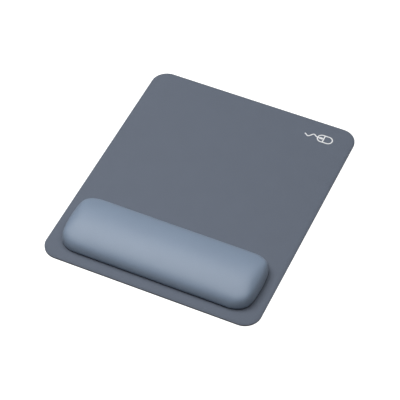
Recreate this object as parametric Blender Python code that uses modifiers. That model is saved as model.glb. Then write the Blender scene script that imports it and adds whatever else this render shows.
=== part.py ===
"""A mouse mat with a cushioned wrist rest along its front edge.

The mat is a laminate of flat sheets. The wrist rest is a foam block on a backing sheet, inside a
stretched cover whose hem is turned in underneath, and an adhesive pad holds it on the mat.

Units are metres and +Z is up. The origin is on the desk, under the middle of the mat, and the
user sits on the -Y side.
"""

from math import asin, cos, degrees, hypot, pi, radians, sin

import bmesh
import bpy

MM = 0.001

# The mat, seen from above
MAT_WIDTH = 200 * MM
MAT_DEPTH = 240 * MM
MAT_CORNER_RADIUS = 15 * MM

# The mat's layers, from the desk up
BASE_THICKNESS = 0.6 * MM
CORE_THICKNESS = 1.0 * MM
CLOTH_THICKNESS = 0.4 * MM
FILM_THICKNESS = 0.1 * MM
FILM_SETBACK = 3.0 * MM
LAYER_GAP = 0.05 * MM

# The wrist rest
REST_END_MARGIN = 10.5 * MM
REST_FRONT_MARGIN = 10.5 * MM
REST_LENGTH = MAT_WIDTH - 2 * REST_END_MARGIN
REST_DEPTH = 59 * MM
REST_HEIGHT = 17.5 * MM
REST_CORNER_RADIUS = 14.5 * MM
COVER_THICKNESS = 0.6 * MM
FOAM_CLEARANCE = 0.3 * MM
PAD_THICKNESS = 0.2 * MM
PAD_SETBACK = 6.5 * MM
HEM_EDGE_SETBACK = 13 * MM
GLUE_INNER_SETBACK = 12 * MM
BACKING_THICKNESS = 1.0 * MM
BACKING_SETBACK = 5.5 * MM
REST_SHEET_CORNER_RADIUS = 15 * MM

# The cushion's cage, ring by ring from the shoulder down to the hem's inner edge: how far the ring
# is set in from the widest outline at the ends and along the sides, and its height above the hem
CUSHION_RINGS = [
    (3.8 * MM, 11.0 * MM, 13.6 * MM),
    (1.0 * MM, 2.2 * MM, 10.2 * MM),
    (0.0 * MM, 0.0 * MM, 3.0 * MM),
    (0.3 * MM, 0.3 * MM, 0.0 * MM),
    (4.0 * MM, 4.0 * MM, 0.0 * MM),
    (HEM_EDGE_SETBACK, HEM_EDGE_SETBACK, 0.0 * MM),
]
CROWN_END_INSETS = (8.5 * MM, 20 * MM, 60 * MM)
CROWN_SIDE_INSET = 21.4 * MM
CROWN_HEIGHT = 17.2 * MM
CAGE_COLUMNS = 7
CAGE_ROWS = 3
SUBDIVISIONS = 2

# The printed pictogram: a computer mouse that lies on its side, with its cable
MARK_CENTRE = (68 * MM, 101 * MM)
MARK_LENGTH = 27 * MM
MARK_BODY_LENGTH = 15 * MM
MARK_BODY_RADIUS = 4.6 * MM
MARK_STROKE = 1.1 * MM
MARK_WHEEL = (3.0 * MM, 2.2 * MM)
MARK_BUTTON_GAP = 1.2 * MM
MARK_CABLE_SWING = 2.6 * MM
MARK_THICKNESS = 0.06 * MM
MARK_GAP = 0.02 * MM

# Heights that follow from the thicknesses
CORE_BOTTOM = BASE_THICKNESS + FILM_THICKNESS + 2 * LAYER_GAP
CLOTH_BOTTOM = CORE_BOTTOM + CORE_THICKNESS + FILM_THICKNESS + 2 * LAYER_GAP
MAT_TOP = CLOTH_BOTTOM + CLOTH_THICKNESS
HEM_BOTTOM = MAT_TOP + PAD_THICKNESS + 2 * LAYER_GAP
GLUE_BOTTOM = HEM_BOTTOM + COVER_THICKNESS + LAYER_GAP
BACKING_BOTTOM = GLUE_BOTTOM + FILM_THICKNESS + LAYER_GAP
FOAM_FILM_BOTTOM = BACKING_BOTTOM + BACKING_THICKNESS + LAYER_GAP
FOAM_BOTTOM = FOAM_FILM_BOTTOM + FILM_THICKNESS + LAYER_GAP
REST_CENTRE_Y = -MAT_DEPTH / 2 + REST_FRONT_MARGIN + REST_DEPTH / 2


def clear_scene():
    for obj in list(bpy.data.objects):
        bpy.data.objects.remove(obj)


def new_collection(name):
    collection = bpy.data.collections.new(name)
    bpy.context.scene.collection.children.link(collection)
    return collection


def add_object(name, data, collection, material=None):
    obj = bpy.data.objects.new(name, data)
    collection.objects.link(obj)
    if material:
        data.materials.append(material)
    return obj


def principled(name, colour, roughness):
    """A non-metal with the given linear colour and roughness."""
    material = bpy.data.materials.new(name)
    material.use_nodes = True
    shader = material.node_tree.nodes["Principled BSDF"]
    shader.inputs["Base Color"].default_value = (*colour, 1)
    shader.inputs["Roughness"].default_value = roughness
    shader.inputs["Metallic"].default_value = 0
    return material


def add_rounded_loop(curve, length, depth, radius):
    """Adds a closed rounded rectangle about the origin, two Bezier points for each corner."""
    handle = radius * 4 / 3 * (2**0.5 - 1)
    half_length, half_depth = length / 2, depth / 2
    spline = curve.splines.new("BEZIER")
    spline.bezier_points.add(7)
    spline.use_cyclic_u = True
    corners = [(1, -1), (1, 1), (-1, 1), (-1, -1)]
    for index, (sx, sy) in enumerate(corners):
        end_point = (sx * half_length, sy * (half_depth - radius))
        side_point = (sx * (half_length - radius), sy * half_depth)
        end_handle = (end_point[0], end_point[1] + sy * handle)
        side_handle = (side_point[0] + sx * handle, side_point[1])
        places = [(side_point, side_handle), (end_point, end_handle)]
        comes_from_the_end = sx * sy > 0
        if comes_from_the_end:
            places.reverse()
        for step, (place, arc_handle) in enumerate(places):
            point = spline.bezier_points[2 * index + step]
            point.handle_left_type = point.handle_right_type = "FREE"
            point.co = (*place, 0)
            point.handle_left = point.handle_right = (*place, 0)
            if step == 0:
                point.handle_right = (*arc_handle, 0)
            else:
                point.handle_left = (*arc_handle, 0)


def add_flat_curve(name, thickness, bottom, centre, collection, material):
    """An empty 2D curve that fills its closed splines and has the given thickness."""
    curve = bpy.data.curves.new(name, "CURVE")
    curve.dimensions = "2D"
    curve.fill_mode = "BOTH"
    curve.extrude = thickness / 2
    obj = add_object(name, curve, collection, material)
    obj.location = (*centre, bottom + thickness / 2)
    return obj


def add_mat_sheet(name, bottom, thickness, setback, collection, material):
    obj = add_flat_curve(name, thickness, bottom, (0, 0), collection, material)
    obj.data.resolution_u = 8
    add_rounded_loop(
        obj.data,
        MAT_WIDTH - 2 * setback,
        MAT_DEPTH - 2 * setback,
        MAT_CORNER_RADIUS - setback,
    )
    return obj


def add_rest_sheet(name, bottom, thickness, setback, collection, material, opening=None):
    """A sheet with the cushion's outline, set in from it, and with an opening if one is given."""
    centre = (0, REST_CENTRE_Y)
    obj = add_flat_curve(name, thickness, bottom, centre, collection, material)
    obj.data.resolution_u = 8
    for inset in [setback] if opening is None else [setback, opening]:
        add_rounded_loop(
            obj.data,
            REST_LENGTH - 2 * inset,
            REST_DEPTH - 2 * inset,
            REST_SHEET_CORNER_RADIUS,
        )
    return obj


def cushion_point(column, row, ring):
    """Where a cage vertex goes, from its column and row in the crown's grid and its ring."""
    end_inset, side_inset, height = CUSHION_RINGS[ring]
    from_end = min(column, CAGE_COLUMNS - column)
    from_side = min(row, CAGE_ROWS - row)
    radius = max(REST_CORNER_RADIUS - side_inset, REST_CORNER_RADIUS / 2)
    x = REST_LENGTH / 2 - end_inset
    y = REST_DEPTH / 2 - side_inset
    if from_end and from_side:
        x = REST_LENGTH / 2 - CROWN_END_INSETS[from_end - 1]
        y = REST_DEPTH / 2 - CROWN_SIDE_INSET
        height = CROWN_HEIGHT
    elif from_end > 1:
        x = REST_LENGTH / 2 - CROWN_END_INSETS[from_end - 1]
    elif from_end:
        x -= radius
    elif from_side:
        y -= radius
    else:
        cut = radius * (1 - cos(pi / 4))
        x -= cut
        y -= cut
    return (x if 2 * column > CAGE_COLUMNS else -x, y if 2 * row > CAGE_ROWS else -y, height)


def cushion_cage(closed):
    """The cushion's coarse cage: a crown with rings extruded down and then in under it."""
    mesh = bmesh.new()
    bmesh.ops.create_grid(mesh, x_segments=CAGE_COLUMNS, y_segments=CAGE_ROWS, size=0.5)
    for vertex in mesh.verts:
        column = round((vertex.co.x + 0.5) * CAGE_COLUMNS)
        row = round((vertex.co.y + 0.5) * CAGE_ROWS)
        vertex.co = (column, row, 0)
    rim = [edge for edge in mesh.edges if edge.is_boundary]
    for _ in CUSHION_RINGS[1:]:
        grown = bmesh.ops.extrude_edge_only(mesh, edges=rim)["geom"]
        rim = [item for item in grown if isinstance(item, bmesh.types.BMEdge)]
        ring = [item for item in grown if isinstance(item, bmesh.types.BMVert)]
        bmesh.ops.translate(mesh, verts=ring, vec=(0, 0, -1))
    for vertex in mesh.verts:
        column, row, depth = (round(value) for value in vertex.co)
        vertex.co = cushion_point(column, row, -depth)
    if closed:
        bmesh.ops.contextual_create(mesh, geom=rim)
    bmesh.ops.recalc_face_normals(mesh, faces=mesh.faces)
    data = bpy.data.meshes.new("cushion_cage")
    mesh.to_mesh(data)
    mesh.free()
    return data


def smooth_size(obj):
    """The object's extents along X, Y and Z after its modifiers."""
    evaluated = obj.evaluated_get(bpy.context.evaluated_depsgraph_get())
    points = [vertex.co.copy() for vertex in evaluated.to_mesh().vertices]
    evaluated.to_mesh_clear()
    return [max(p[axis] for p in points) - min(p[axis] for p in points) for axis in range(3)]


def add_cushion_body(name, closed, collection, material):
    """The cushion's outer shape, with its cage scaled so that the smooth shape has the real size."""
    data = cushion_cage(closed)
    obj = add_object(name, data, collection, material)
    obj.location = (0, REST_CENTRE_Y, HEM_BOTTOM)
    smooth = obj.modifiers.new("smooth", "SUBSURF")
    smooth.levels = smooth.render_levels = SUBDIVISIONS
    wanted = (REST_LENGTH, REST_DEPTH, MAT_TOP + REST_HEIGHT - HEM_BOTTOM)
    scale = [want / now for want, now in zip(wanted, smooth_size(obj))]
    for vertex in data.vertices:
        vertex.co = [value * factor for value, factor in zip(vertex.co, scale)]
    data.shade_smooth()
    return obj


def add_wrist_cover(collection, material):
    cover = add_cushion_body("wrist_cover", False, collection, material)
    shell = cover.modifiers.new("cloth_thickness", "SOLIDIFY")
    shell.thickness = COVER_THICKNESS
    shell.offset = -1
    shell.use_even_offset = True
    return cover


def add_foam_core(collection, cutters, material):
    """The cushion's shape, shrunk to fit inside the cover and cut flat above its bond film."""
    foam = add_cushion_body("memory_foam_core", True, collection, material)
    shrink = foam.modifiers.new("clear_of_cover", "DISPLACE")
    shrink.mid_level = 0
    shrink.strength = -(COVER_THICKNESS + FOAM_CLEARANCE)
    bpy.ops.mesh.primitive_cube_add(size=1, location=(0, REST_CENTRE_Y, FOAM_BOTTOM / 2))
    cutter = bpy.context.object
    cutter.name = "foam_base_cutter"
    cutter.scale = (MAT_WIDTH, MAT_DEPTH, FOAM_BOTTOM)
    cutter.hide_render = True
    cutter.display_type = "WIRE"
    for owner in list(cutter.users_collection):
        owner.objects.unlink(cutter)
    cutters.objects.link(cutter)
    flat = foam.modifiers.new("flat_base", "BOOLEAN")
    flat.operation = "DIFFERENCE"
    flat.object = cutter
    return foam


def arc(centre_x, radius, start, end, steps=10):
    """Points on an arc about (centre_x, 0), with its angles in degrees."""
    angles = [radians(start + (end - start) * step / steps) for step in range(steps + 1)]
    return [(centre_x + radius * cos(angle), radius * sin(angle)) for angle in angles]


def cable_sides(start_x, end_x, half_stroke, steps=24):
    """Both sides of the pictogram's cable, a soft S from the mouse's nose to its free end."""
    length = start_x - end_x
    upper, lower = [], []
    for step in range(1, steps + 1):
        t = step / steps
        y = MARK_CABLE_SWING * sin(2 * pi * t) * sin(pi * t)
        slope = 2 * cos(2 * pi * t) * sin(pi * t) + sin(2 * pi * t) * cos(pi * t)
        run, rise = -length, MARK_CABLE_SWING * pi * slope
        across = half_stroke / hypot(run, rise)
        x = start_x - length * t
        upper.append((x + rise * across, y - run * across))
        lower.append((x - rise * across, y + run * across))
    return upper, lower


def add_poly_loop(curve, points):
    spline = curve.splines.new("POLY")
    spline.points.add(len(points) - 1)
    spline.use_cyclic_u = True
    for point, (x, y) in zip(spline.points, points):
        point.co = (x, y, 0, 1)


def add_printed_mark(collection, material):
    """A mouse with two buttons and a wheel, its nose towards -X, and its cable in one piece with it."""
    mark = add_flat_curve(
        "printed_mark", MARK_THICKNESS, MAT_TOP + MARK_GAP, MARK_CENTRE, collection, material
    )
    half_stroke = MARK_STROKE / 2
    inner_radius = MARK_BODY_RADIUS - MARK_STROKE
    tail_cap = MARK_LENGTH / 2 - MARK_BODY_RADIUS
    nose_cap = MARK_LENGTH / 2 - MARK_BODY_LENGTH + MARK_BODY_RADIUS
    spread = degrees(asin(half_stroke / MARK_BODY_RADIUS))
    nose_x = nose_cap - MARK_BODY_RADIUS * cos(radians(spread))
    upper, lower = cable_sides(nose_x, -MARK_LENGTH / 2, half_stroke)
    outline = arc(tail_cap, MARK_BODY_RADIUS, -90, 90)
    outline += arc(nose_cap, MARK_BODY_RADIUS, 90, 180 - spread)
    outline += upper + lower[::-1]
    outline += arc(nose_cap, MARK_BODY_RADIUS, 180 + spread, 270)
    add_poly_loop(mark.data, outline)

    button_end = nose_cap + MARK_BUTTON_GAP
    palm = [(button_end + MARK_STROKE, -inner_radius)]
    palm += arc(tail_cap, inner_radius, -90, 90)
    palm += [(button_end + MARK_STROKE, inner_radius)]
    add_poly_loop(mark.data, palm)

    wheel_length, wheel_width = MARK_WHEEL
    wheel_start = button_end - wheel_length - half_stroke
    wheel_end = button_end - half_stroke
    lowest = degrees(asin(half_stroke / inner_radius))
    for side in (1, -1):
        button = arc(nose_cap, inner_radius, 90, 180 - lowest)
        button += [(wheel_start, half_stroke), (wheel_start, wheel_width / 2)]
        button += [(wheel_end, wheel_width / 2), (wheel_end, half_stroke)]
        button += [(button_end, half_stroke), (button_end, inner_radius)]
        add_poly_loop(mark.data, [(x, side * y) for x, y in button])
    return mark


def build():
    clear_scene()
    parts = new_collection("wrist_rest_mat")
    cutters = new_collection("cutters")
    rubber = principled("base_rubber", (0.045, 0.047, 0.05), 0.85)
    film = principled("bond_film", (0.55, 0.55, 0.52), 0.5)
    eva = principled("core_foam", (0.06, 0.063, 0.068), 0.9)
    cloth = principled("mat_cloth", (0.135, 0.158, 0.205), 0.85)
    ink = principled("white_print", (0.85, 0.86, 0.87), 0.6)
    cover = principled("stretch_cover", (0.27, 0.32, 0.4), 0.6)
    foam = principled("memory_foam", (0.75, 0.7, 0.55), 0.95)
    board = principled("backing_board", (0.12, 0.12, 0.12), 0.8)

    add_mat_sheet("nonslip_base_sheet", 0, BASE_THICKNESS, 0, parts, rubber)
    base_film_bottom = BASE_THICKNESS + LAYER_GAP
    add_mat_sheet("base_bond_film", base_film_bottom, FILM_THICKNESS, FILM_SETBACK, parts, film)
    add_mat_sheet("mat_core_sheet", CORE_BOTTOM, CORE_THICKNESS, 0, parts, eva)
    cloth_film_bottom = CORE_BOTTOM + CORE_THICKNESS + LAYER_GAP
    add_mat_sheet("cloth_bond_film", cloth_film_bottom, FILM_THICKNESS, FILM_SETBACK, parts, film)
    add_mat_sheet("mat_cloth", CLOTH_BOTTOM, CLOTH_THICKNESS, 0, parts, cloth)
    add_printed_mark(parts, ink)

    pad_bottom = MAT_TOP + LAYER_GAP
    add_rest_sheet("wrist_adhesive_pad", pad_bottom, PAD_THICKNESS, PAD_SETBACK, parts, film)
    add_wrist_cover(parts, cover)
    add_rest_sheet(
        "hem_glue_ring", GLUE_BOTTOM, FILM_THICKNESS, PAD_SETBACK, parts, film, GLUE_INNER_SETBACK
    )
    add_rest_sheet(
        "wrist_backing_sheet", BACKING_BOTTOM, BACKING_THICKNESS, BACKING_SETBACK, parts, board
    )
    add_rest_sheet(
        "foam_bond_film", FOAM_FILM_BOTTOM, FILM_THICKNESS, PAD_SETBACK, parts, film
    )
    add_foam_core(parts, cutters, foam)


build()
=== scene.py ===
"""The looks of a mouse mat with a cushioned wrist rest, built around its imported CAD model.

Units are metres and +Z is up. The user sits on the -Y side, where the cushion is.
"""

from math import cos, pi, radians, sin

import bmesh
import bpy
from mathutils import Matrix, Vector


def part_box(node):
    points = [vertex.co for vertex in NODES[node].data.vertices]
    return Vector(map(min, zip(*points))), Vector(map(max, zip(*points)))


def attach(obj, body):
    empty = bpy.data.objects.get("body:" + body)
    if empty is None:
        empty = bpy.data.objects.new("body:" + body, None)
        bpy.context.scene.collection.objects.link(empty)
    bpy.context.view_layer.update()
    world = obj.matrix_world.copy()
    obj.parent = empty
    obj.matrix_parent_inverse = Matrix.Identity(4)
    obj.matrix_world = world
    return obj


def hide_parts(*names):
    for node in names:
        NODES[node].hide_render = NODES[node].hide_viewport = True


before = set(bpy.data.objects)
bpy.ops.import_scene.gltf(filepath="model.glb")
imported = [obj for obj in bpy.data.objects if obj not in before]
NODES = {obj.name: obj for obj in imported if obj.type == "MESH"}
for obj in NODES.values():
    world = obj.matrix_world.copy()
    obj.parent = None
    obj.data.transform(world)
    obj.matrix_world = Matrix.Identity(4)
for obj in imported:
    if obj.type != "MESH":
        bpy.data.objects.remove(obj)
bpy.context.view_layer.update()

MM = 0.001

# Camera: where it looks, and from where
AIM = Vector((0.7 * MM, -9.03 * MM, 0))
CAMERA_AZIMUTH = radians(24.49)
CAMERA_ELEVATION = radians(49.2)
CAMERA_DISTANCE = 1.5135
LENS_MM = 155.85
CLIP_NEAR = 0.01
CLIP_FAR = 50

# Floor and surroundings. A glow is what the camera sees, where 1 is white, and the floor's bounce
# and the ambient glow are what reaches the object.
FLOOR_RADIUS = 8
FLOOR_SIDES = 96
FLOOR_GAP = 0.05 * MM
FLOOR_GREY = 0.3
FLOOR_ROUGHNESS = 0.9
FLOOR_GLOW = 1.05
FLOOR_BOUNCE = 0.4
BACKDROP_GLOW = 1.1
AMBIENT_GLOW = 0.0

# Soft boxes, all aimed at the origin: place, width and length, power in watts
SOFTBOXES = {
    "overhead_softbox": ((0, 0, 0.95), (1.2, 1.2), 8.2),
    "left_softbox": ((-0.35, 0, 0.88), (0.5, 0.5), 4.1),
}

# The cushion's cage, ring by ring from the shoulder down to the hem's inner edge: how far the ring
# is set in from the widest outline at the ends and along the sides, and its height above the hem
CUSHION_RINGS = [
    (3.8 * MM, 11.0 * MM, 13.6 * MM),
    (1.0 * MM, 2.2 * MM, 10.2 * MM),
    (0.0 * MM, 0.0 * MM, 3.0 * MM),
    (0.3 * MM, 0.3 * MM, 0.0 * MM),
    (4.0 * MM, 4.0 * MM, 0.0 * MM),
    (13.0 * MM, 13.0 * MM, 0.0 * MM),
]
CROWN_END_INSETS = (8.5 * MM, 20 * MM, 60 * MM)
CROWN_SIDE_INSET = 21.4 * MM
CROWN_HEIGHT = 17.2 * MM
CUSHION_CORNER_RADIUS = 14.5 * MM
CAGE_COLUMNS = 7
CAGE_ROWS = 3
CAGE_SUBDIVISIONS = 3
COVER_THICKNESS = 0.6 * MM
FOAM_SETBACK = 0.9 * MM

# Material index that marks the underside's faces until the cover is opened there
UNDERSIDE = 1

# Filling the cushion: up to which height it is held, how hard and for how many frames it is filled,
# how far a point may move, and its cloth
HELD_HEIGHT = 0.8 * MM
FILL_PRESSURE = 1
FILL_FRAMES = 20
FILL_LIMIT = 0.3 * MM
FILL_CLOTH = {
    "quality": 6,
    "mass": 0.2,
    "tension_stiffness": 15,
    "compression_stiffness": 15,
    "shear_stiffness": 5,
    "bending_stiffness": 0.5,
}

# The mat's outline, and its rim where the cutting die has pressed it down
MAT_CORNER_RADIUS = 15 * MM
CORNER_STEPS = 24
RIM_WIDTH = 2.8 * MM
RIM_STEPS = 6
RIM_SQUEEZE = 0.05 * MM
CLOTH_DROP = 0.75 * MM
CORE_DROP = 0.72 * MM
SHARP_ANGLE = radians(50)

# The base's cut edge, and the wavy grip ribs under it
BASE_LOWER_BEVEL = 0.15 * MM
BASE_UPPER_BEVEL = 0.1 * MM
GRIP_BORDER = 8 * MM
GRIP_DEPTH = 0.2 * MM
GRIP_PITCH = 4 * MM
GRIP_WAVE = 16 * MM
GRIP_SWING = 1.0 * MM
GRIP_STEP_X = 2 * MM
GRIP_STEP_Y = 1 * MM

# Cloths: the pitch of the knit's loops, the depth of their relief, and how the surface shines
MAT_CLOTH = {
    "base": (0.128, 0.150, 0.192),
    "pitch": 0.5 * MM,
    "depth": 0.03 * MM,
    "roughness": 0.85,
    "sheen": 0.1,
    "gloss": 0.35,
}
COVER_CLOTH = {
    "base": (0.231, 0.296, 0.395),
    "pitch": 0.35 * MM,
    "depth": 0.02 * MM,
    "roughness": 0.5,
    "sheen": 0.1,
    "gloss": 0.6,
}
ROWS_PER_COLUMN = 0.8
KNIT_SHADES = (0.88, 1.1)
MOTTLE_SHADES = (0.97, 1.03)
MOTTLE_SCALE = 45.0
FUZZ_SCALE = 2500.0
FUZZ_ROUGHNESS = 0.12
FUZZ_RELIEF = 0.6
SHEEN_ROUGHNESS = 0.4

# Grained materials: colour, roughness, grain scale, relief depth, contrast of the grain's colours
EDGE_GREY = (0.12, 0.125, 0.135)
GRAINED = {
    "base_rubber": (EDGE_GREY, 0.85, 900, 0.03 * MM, 0.1),
    "core_foam": (EDGE_GREY, 0.9, 1500, 0.05 * MM, 0.1),
    "memory_foam": ((0.75, 0.7, 0.55), 0.95, 1200, 0.1 * MM, 0.1),
    "white_ink": ((0.82, 0.83, 0.84), 0.55, 1800, 0.01 * MM, 0.03),
    "adhesive_pad": ((0.6, 0.6, 0.56), 0.5, 700, 0.01 * MM, 0.1),
    "backing_board": ((0.12, 0.12, 0.12), 0.8, 900, 0.03 * MM, 0.1),
    "bond_film": ((0.55, 0.55, 0.52), 0.5, 500, 0.01 * MM, 0.1),
}
GRAIN_ROUGHNESS = 0.15

# What the CAD nodes that stay are made of, where it isn't bond film
NODE_MATERIALS = {
    "printed_mark": "white_ink",
    "wrist_adhesive_pad": "adhesive_pad",
    "wrist_backing_sheet": "backing_board",
}


# ---------------------------------------------------------------- objects and nodes


def add_object(name, data):
    obj = bpy.data.objects.new(name, data)
    bpy.context.scene.collection.objects.link(obj)
    return obj


def mesh_data(name, mesh):
    """Turns a bmesh into mesh data, and frees it."""
    data = bpy.data.meshes.new(name)
    mesh.to_mesh(data)
    mesh.free()
    return data


def colour(r, g, b):
    return (r, g, b, 1)


def grey(value):
    return colour(value, value, value)


def shade(base, factor):
    return colour(*[channel * factor for channel in base])


class Nodes:
    """A short way to write the node tree of a material or a world."""

    def __init__(self, owner, shader="Principled BSDF"):
        owner.use_nodes = True
        self.tree = owner.node_tree
        self.shader = self.tree.nodes[shader]
        self.coordinates = None

    def add(self, kind, settings=None, **inputs):
        """Adds a node. An input is given by its name, or as i and its number."""
        node = self.tree.nodes.new(kind)
        for key, value in (settings or {}).items():
            setattr(node, key, value)
        for key, value in inputs.items():
            self.put(node, key.replace("_", " "), value)
        return node

    def put(self, node, key, value):
        """Sets an input to a constant, or links it to another node's output."""
        socket = node.inputs[int(key[1:])] if key[0] == "i" and key[1:].isdigit() else node.inputs[key]
        if isinstance(value, bpy.types.NodeSocket):
            self.tree.links.new(value, socket)
        else:
            socket.default_value = value

    def math(self, operation, a, b=0.0):
        return self.add("ShaderNodeMath", {"operation": operation}, i0=a, i1=b).outputs[0]

    def mix(self, share, a, b, blend="MIX"):
        """Mixes two colours. A Mix node's colours are its inputs 6 and 7, and its output 2."""
        settings = {"data_type": "RGBA", "blend_type": blend}
        return self.add("ShaderNodeMix", settings, i0=share, i6=a, i7=b).outputs[2]

    def noise(self, scale, detail=2.0, roughness=0.5):
        node = self.add("ShaderNodeTexNoise", Scale=scale, Detail=detail, Roughness=roughness)
        self.put(node, "Vector", self.place())
        return node.outputs["Fac"]

    def place(self):
        """A point's place in its object's own coordinates."""
        if self.coordinates is None:
            self.coordinates = self.add("ShaderNodeTexCoord").outputs["Object"]
        return self.coordinates

    def bump(self, height, distance):
        node = self.add("ShaderNodeBump", Strength=1.0, Distance=distance, Height=height)
        self.put(self.shader, "Normal", node.outputs["Normal"])


# ---------------------------------------------------------------- materials


def cloth_material(name, base, pitch, depth, roughness, sheen, gloss, centre=None):
    """A close knit: rows and columns of loops at the given pitch, over faint broad shading.

    On a cushion, given by its centre, the pattern is measured outwards and then on down the sides.
    """
    material = bpy.data.materials.new(name)
    m = Nodes(material)
    x, y, z = m.add("ShaderNodeSeparateXYZ", Vector=m.place()).outputs
    if centre is not None:
        x = m.math("SUBTRACT", m.math("ABSOLUTE", m.math("SUBTRACT", x, centre.x)), z)
        y = m.math("SUBTRACT", m.math("ABSOLUTE", m.math("SUBTRACT", y, centre.y)), z)
    turn = 2 * pi / pitch
    across = m.math("SINE", m.math("MULTIPLY", x, turn))
    along = m.math("SINE", m.math("MULTIPLY", y, turn * ROWS_PER_COLUMN))
    loops = m.math("MULTIPLY", across, along)
    height = m.math("ADD", m.math("MULTIPLY", loops, 0.5), 0.5)
    fuzz = m.noise(FUZZ_SCALE)
    both = m.math("ADD", m.math("MULTIPLY", height, 0.5), m.math("MULTIPLY", fuzz, 0.5))
    knit = m.mix(both, *[shade(base, factor) for factor in KNIT_SHADES])
    mottle = m.mix(m.noise(MOTTLE_SCALE, detail=3.0), *[grey(value) for value in MOTTLE_SHADES])
    m.put(m.shader, "Base Color", m.mix(1.0, knit, mottle, "MULTIPLY"))
    rough = m.math("ADD", m.math("MULTIPLY", fuzz, FUZZ_ROUGHNESS), roughness - FUZZ_ROUGHNESS / 2)
    m.put(m.shader, "Roughness", rough)
    m.put(m.shader, "Sheen Weight", sheen)
    m.put(m.shader, "Sheen Roughness", SHEEN_ROUGHNESS)
    m.put(m.shader, "Specular IOR Level", gloss)
    m.bump(m.math("ADD", height, m.math("MULTIPLY", fuzz, FUZZ_RELIEF)), depth)
    return material


def grained_material(name):
    """Rubber, foam, film or ink: a fine grain in colour, roughness and relief."""
    base, roughness, scale, depth, contrast = GRAINED[name]
    material = bpy.data.materials.new(name)
    m = Nodes(material)
    grain = m.noise(scale, detail=3.0, roughness=0.6)
    m.put(m.shader, "Base Color", m.mix(grain, shade(base, 1 - contrast), shade(base, 1 + contrast)))
    rough = m.math("ADD", m.math("MULTIPLY", grain, GRAIN_ROUGHNESS), roughness - GRAIN_ROUGHNESS / 2)
    m.put(m.shader, "Roughness", rough)
    m.bump(grain, depth)
    return material


# ---------------------------------------------------------------- cushion


def cushion_point(column, row, ring, half_length, half_depth):
    """Where a cage vertex goes, from its column and row in the crown's grid and its ring."""
    end_inset, side_inset, height = CUSHION_RINGS[ring]
    from_end = min(column, CAGE_COLUMNS - column)
    from_side = min(row, CAGE_ROWS - row)
    radius = max(CUSHION_CORNER_RADIUS - side_inset, CUSHION_CORNER_RADIUS / 2)
    x = half_length - end_inset
    y = half_depth - side_inset
    if from_end and from_side:
        x = half_length - CROWN_END_INSETS[from_end - 1]
        y = half_depth - CROWN_SIDE_INSET
        height = CROWN_HEIGHT
    elif from_end > 1:
        x = half_length - CROWN_END_INSETS[from_end - 1]
    elif from_end:
        x -= radius
    elif from_side:
        y -= radius
    else:
        cut = radius * (1 - cos(pi / 4))
        x -= cut
        y -= cut
    return (x if 2 * column > CAGE_COLUMNS else -x, y if 2 * row > CAGE_ROWS else -y, height)


def cushion_cage(half_length, half_depth):
    """The cushion's closed cage: a crown with rings extruded down and in under it, and an underside.

    A vertex first holds its column, its row and minus its ring, and then gets its place from them.
    """
    mesh = bmesh.new()
    bmesh.ops.create_grid(mesh, x_segments=CAGE_COLUMNS, y_segments=CAGE_ROWS, size=0.5)
    for vertex in mesh.verts:
        column = round((vertex.co.x + 0.5) * CAGE_COLUMNS)
        row = round((vertex.co.y + 0.5) * CAGE_ROWS)
        vertex.co = (column, row, 0)
    rim = [edge for edge in mesh.edges if edge.is_boundary]
    for _ in CUSHION_RINGS[1:]:
        grown = bmesh.ops.extrude_edge_only(mesh, edges=rim)["geom"]
        rim = [item for item in grown if isinstance(item, bmesh.types.BMEdge)]
        ring = [item for item in grown if isinstance(item, bmesh.types.BMVert)]
        bmesh.ops.translate(mesh, verts=ring, vec=(0, 0, -1))
    for vertex in mesh.verts:
        column, row, depth = (round(value) for value in vertex.co)
        vertex.co = cushion_point(column, row, -depth, half_length, half_depth)
    underside = bmesh.ops.contextual_create(mesh, geom=rim)["faces"]
    for face in underside:
        face.material_index = UNDERSIDE
    bmesh.ops.recalc_face_normals(mesh, faces=mesh.faces)
    return mesh_data("cushion_cage", mesh)


def evaluated_mesh(obj):
    graph = bpy.context.evaluated_depsgraph_get()
    return bpy.data.meshes.new_from_object(obj.evaluated_get(graph))


def apply_modifiers(obj):
    """Puts the modifiers' result in the place of the object's own mesh."""
    before = obj.data
    obj.data = evaluated_mesh(obj)
    obj.modifiers.clear()
    bpy.data.meshes.remove(before)


def subdivide(obj, levels):
    smooth = obj.modifiers.new("smooth", "SUBSURF")
    smooth.levels = smooth.render_levels = levels
    apply_modifiers(obj)


def fit_to_box(mesh, low, high):
    """Scales and moves a mesh so that its own box is the given one."""
    ends = [[pick(v.co[axis] for v in mesh.vertices) for axis in range(3)] for pick in (min, max)]
    for vertex in mesh.vertices:
        for axis in range(3):
            share = (vertex.co[axis] - ends[0][axis]) / (ends[1][axis] - ends[0][axis])
            vertex.co[axis] = low[axis] + share * (high[axis] - low[axis])


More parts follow.
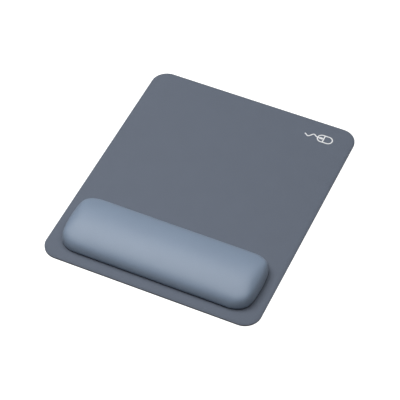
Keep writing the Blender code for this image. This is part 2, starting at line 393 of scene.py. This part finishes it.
def inflate(form, low):
    """Fills the form like a stuffed cover, with its hem held down, for a few frames of cloth."""
    hem = form.vertex_groups.new(name="hem")
    held = [v.index for v in form.data.vertices if v.co.z < low.z + HELD_HEIGHT]
    hem.add(held, 1.0, "REPLACE")
    cloth = form.modifiers.new("cloth", "CLOTH")
    for setting, value in FILL_CLOTH.items():
        setattr(cloth.settings, setting, value)
    cloth.settings.vertex_group_mass = "hem"
    cloth.settings.use_pressure = True
    cloth.settings.uniform_pressure_force = FILL_PRESSURE
    cloth.settings.effector_weights.gravity = 0
    cloth.collision_settings.use_collision = False
    cloth.point_cache.frame_start = 1
    cloth.point_cache.frame_end = FILL_FRAMES
    scene = bpy.context.scene
    for number in range(1, FILL_FRAMES + 1):
        scene.frame_set(number)
    filled = evaluated_mesh(form)
    scene.frame_set(1)
    moves = [after.co - before.co for before, after in zip(form.data.vertices, filled.vertices)]
    for vertex, move in zip(form.data.vertices, moves):
        vertex.co += move * min(1, FILL_LIMIT / max(move.length, FILL_LIMIT))
    form.modifiers.clear()
    form.vertex_groups.clear()
    bpy.data.meshes.remove(filled)


def make_cushion_form():
    """The cushion's closed outer surface, filled, and scaled to the CAD cover's box."""
    low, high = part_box("wrist_cover")
    form = add_object("cushion_form", cushion_cage((high.x - low.x) / 2, (high.y - low.y) / 2))
    subdivide(form, CAGE_SUBDIVISIONS)
    fit_to_box(form.data, low, high)
    inflate(form, low)
    subdivide(form, 1)
    fit_to_box(form.data, low, high)
    form.data.shade_smooth()
    return form


def make_cushion_cover(form):
    """The cover: the form's surface without the middle of its underside, where the hem ends."""
    mesh = bmesh.new()
    mesh.from_mesh(form.data)
    opening = [face for face in mesh.faces if face.material_index == UNDERSIDE]
    bmesh.ops.delete(mesh, geom=opening, context="FACES")
    cover = add_object("wrist_cushion_cover", mesh_data("wrist_cushion_cover", mesh))
    shell = cover.modifiers.new("cloth_thickness", "SOLIDIFY")
    shell.thickness = COVER_THICKNESS
    shell.offset = -1
    low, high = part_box("wrist_cover")
    cloth = cloth_material("stretch_cover_cloth", **COVER_CLOTH, centre=(low + high) / 2)
    cover.data.materials.append(cloth)
    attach(cover, "root")
    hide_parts("wrist_cover")


def make_foam_block(form):
    """The foam: the form a little smaller, flat where it sits on its bond film."""
    foam = add_object("memory_foam_block", form.data.copy())
    shrink = foam.modifiers.new("clear_of_cover", "DISPLACE")
    shrink.mid_level = 0
    shrink.strength = -FOAM_SETBACK
    apply_modifiers(foam)
    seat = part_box("memory_foam_core")[0].z
    for vertex in foam.data.vertices:
        vertex.co.z = max(vertex.co.z, seat)
    for face in foam.data.polygons:
        face.material_index = 0
    foam.data.materials.append(grained_material("memory_foam"))
    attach(foam, "root")
    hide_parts("memory_foam_core")


def make_cushion():
    form = make_cushion_form()
    make_cushion_cover(form)
    make_foam_block(form)
    bpy.data.objects.remove(form)


# ---------------------------------------------------------------- mat


def rounded_outline(half_width, half_depth, radius):
    """Points round a rectangle with rounded corners, counter-clockwise from above."""
    points = []
    for corner in range(4):
        side_x = 1 if corner in (0, 3) else -1
        side_y = 1 if corner < 2 else -1
        for step in range(CORNER_STEPS + 1):
            angle = pi / 2 * (corner + step / CORNER_STEPS)
            x = side_x * (half_width - radius) + radius * cos(angle)
            y = side_y * (half_depth - radius) + radius * sin(angle)
            points.append((x, y))
    return points


def add_edge_rings(mesh, high, rings):
    """A sheet's rim: rings of the mat's outline, each (how far in from the edge, height above the desk)."""
    loops = []
    for inset, height in rings:
        outline = rounded_outline(high.x - inset, high.y - inset, MAT_CORNER_RADIUS - inset)
        loops.append([mesh.verts.new((x, y, height)) for x, y in outline])
    for lower, upper in zip(loops, loops[1:]):
        for index in range(len(lower)):
            after = (index + 1) % len(lower)
            mesh.faces.new((lower[index], lower[after], upper[after], upper[index]))
    return loops


def pressed_face(height, drop):
    """Rings up a face whose rim the cutting die has pressed down, from the mat's edge inwards."""
    shares = [step / RIM_STEPS for step in range(RIM_STEPS + 1)]
    return [(RIM_WIDTH * share, height - drop * (1 - share) ** 2) for share in shares]


def finish_mesh(name, mesh):
    """Makes an object of a closed mesh, smooth but for its sharp edges."""
    bmesh.ops.recalc_face_normals(mesh, faces=mesh.faces)
    data = mesh_data(name, mesh)
    data.shade_smooth()
    data.set_sharp_from_angle(angle=SHARP_ANGLE)
    return add_object(name, data)


def make_pressed_sheet(name, node, top_drop, bottom_drop):
    """A layer of the mat in the place of its CAD node, with its rim pressed down."""
    low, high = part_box(node)
    mesh = bmesh.new()
    under = pressed_face(low.z, bottom_drop)
    over = pressed_face(high.z, top_drop)
    loops = add_edge_rings(mesh, high, under[::-1] + over)
    mesh.faces.new(loops[0])
    mesh.faces.new(loops[-1])
    sheet = finish_mesh(name, mesh)
    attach(sheet, "root")
    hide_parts(node)
    return sheet


def make_mat_face():
    """The mat's cloth, cut flat, with its rim pressed down over the foam."""
    face = make_pressed_sheet("mat_cloth_face", "mat_cloth", CLOTH_DROP, CLOTH_DROP - RIM_SQUEEZE)
    face.data.materials.append(cloth_material("mat_knit_cloth", **MAT_CLOTH))


def make_mat_core():
    """The thin foam core, squeezed towards its cut edge."""
    core = make_pressed_sheet("mat_foam_core", "mat_core_sheet", CORE_DROP, 0.0)
    core.data.materials.append(grained_material("core_foam"))


def grip_recess(x, y):
    """How far the underside is recessed at a point, from 0 at the crest of a wavy grip rib."""
    wave = y + GRIP_SWING * sin(2 * pi * x / GRIP_WAVE)
    return GRIP_DEPTH * (0.5 + 0.5 * cos(2 * pi * wave / GRIP_PITCH))


def make_grip_base():
    """The non-slip base: a cut rubber sheet with wavy grip ribs inside a plain border underneath."""
    low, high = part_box("nonslip_base_sheet")
    mesh = bmesh.new()
    rings = [
        (BASE_LOWER_BEVEL, low.z),
        (0.0, low.z + BASE_LOWER_BEVEL),
        (0.0, high.z - BASE_UPPER_BEVEL),
        (BASE_UPPER_BEVEL, high.z),
    ]
    loops = add_edge_rings(mesh, high, rings)
    mesh.faces.new(loops[-1])
    half_width, half_depth = high.x - GRIP_BORDER, high.y - GRIP_BORDER
    columns, rows = round(2 * half_width / GRIP_STEP_X), round(2 * half_depth / GRIP_STEP_Y)
    grid = bmesh.ops.create_grid(mesh, x_segments=columns, y_segments=rows, size=0.5)["verts"]
    for vertex in grid:
        x, y = vertex.co.x * 2 * half_width, vertex.co.y * 2 * half_depth
        vertex.co = (x, y, low.z if vertex.is_boundary else low.z + grip_recess(x, y))
    border = [edge for edge in mesh.edges if edge.is_boundary]
    bmesh.ops.triangle_fill(mesh, edges=border, use_beauty=True, use_dissolve=False, normal=(0, 0, -1))
    base = finish_mesh("nonslip_grip_base", mesh)
    base.data.materials.append(grained_material("base_rubber"))
    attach(base, "root")
    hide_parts("nonslip_base_sheet")


def dress_cad_nodes():
    film = grained_material("bond_film")
    others = {node: grained_material(name) for node, name in NODE_MATERIALS.items()}
    for name, node in NODES.items():
        node.data.materials.clear()
        node.data.materials.append(others.get(name, film))


# ---------------------------------------------------------------- stage


def make_camera():
    data = bpy.data.cameras.new("camera")
    data.lens = LENS_MM
    data.clip_start = CLIP_NEAR
    data.clip_end = CLIP_FAR
    camera = add_object("camera", data)
    level = cos(CAMERA_ELEVATION)
    back = Vector((sin(CAMERA_AZIMUTH) * level, -cos(CAMERA_AZIMUTH) * level, sin(CAMERA_ELEVATION)))
    camera.location = AIM + back * CAMERA_DISTANCE
    camera.rotation_euler = back.to_track_quat("Z", "Y").to_euler()
    bpy.context.scene.camera = camera


def make_floor():
    """A white floor: even white to the camera, with part of that glow thrown back on the mat."""
    mesh = bmesh.new()
    bmesh.ops.create_circle(mesh, cap_ends=True, segments=FLOOR_SIDES, radius=FLOOR_RADIUS)
    floor = add_object("floor", mesh_data("floor", mesh))
    floor.location.z = -FLOOR_GAP
    material = bpy.data.materials.new("pale_floor")
    m = Nodes(material)
    m.put(m.shader, "Base Color", grey(FLOOR_GREY))
    m.put(m.shader, "Roughness", FLOOR_ROUGHNESS)
    m.put(m.shader, "Specular IOR Level", 0.0)
    m.put(m.shader, "Emission Color", grey(1))
    camera_ray = m.add("ShaderNodeLightPath").outputs["Is Camera Ray"]
    glow = m.math("ADD", m.math("MULTIPLY", camera_ray, FLOOR_GLOW - FLOOR_BOUNCE), FLOOR_BOUNCE)
    m.put(m.shader, "Emission Strength", glow)
    floor.data.materials.append(material)
    floor.visible_glossy = False


def add_softbox(name, place, size, power):
    """A rectangular soft box that faces the origin."""
    data = bpy.data.lights.new(name, "AREA")
    data.shape = "RECTANGLE"
    data.size, data.size_y = size
    data.energy = power
    light = add_object(name, data)
    light.location = place
    light.rotation_euler = Vector(place).to_track_quat("Z", "Y").to_euler()


def make_lights():
    """The soft boxes, in a world that is white to the camera and gives no other light."""
    for name, (place, size, power) in SOFTBOXES.items():
        add_softbox(name, place, size, power)
    world = bpy.data.worlds.new("studio")
    w = Nodes(world, "Background")
    camera_ray = w.add("ShaderNodeLightPath").outputs["Is Camera Ray"]
    w.put(w.shader, "Color", w.mix(camera_ray, grey(AMBIENT_GLOW), grey(BACKDROP_GLOW)))
    bpy.context.scene.world = world
    bpy.context.scene.view_settings.view_transform = "Standard"


make_camera()
make_floor()
make_lights()
dress_cad_nodes()
make_mat_face()
make_mat_core()
make_grip_base()
make_cushion()
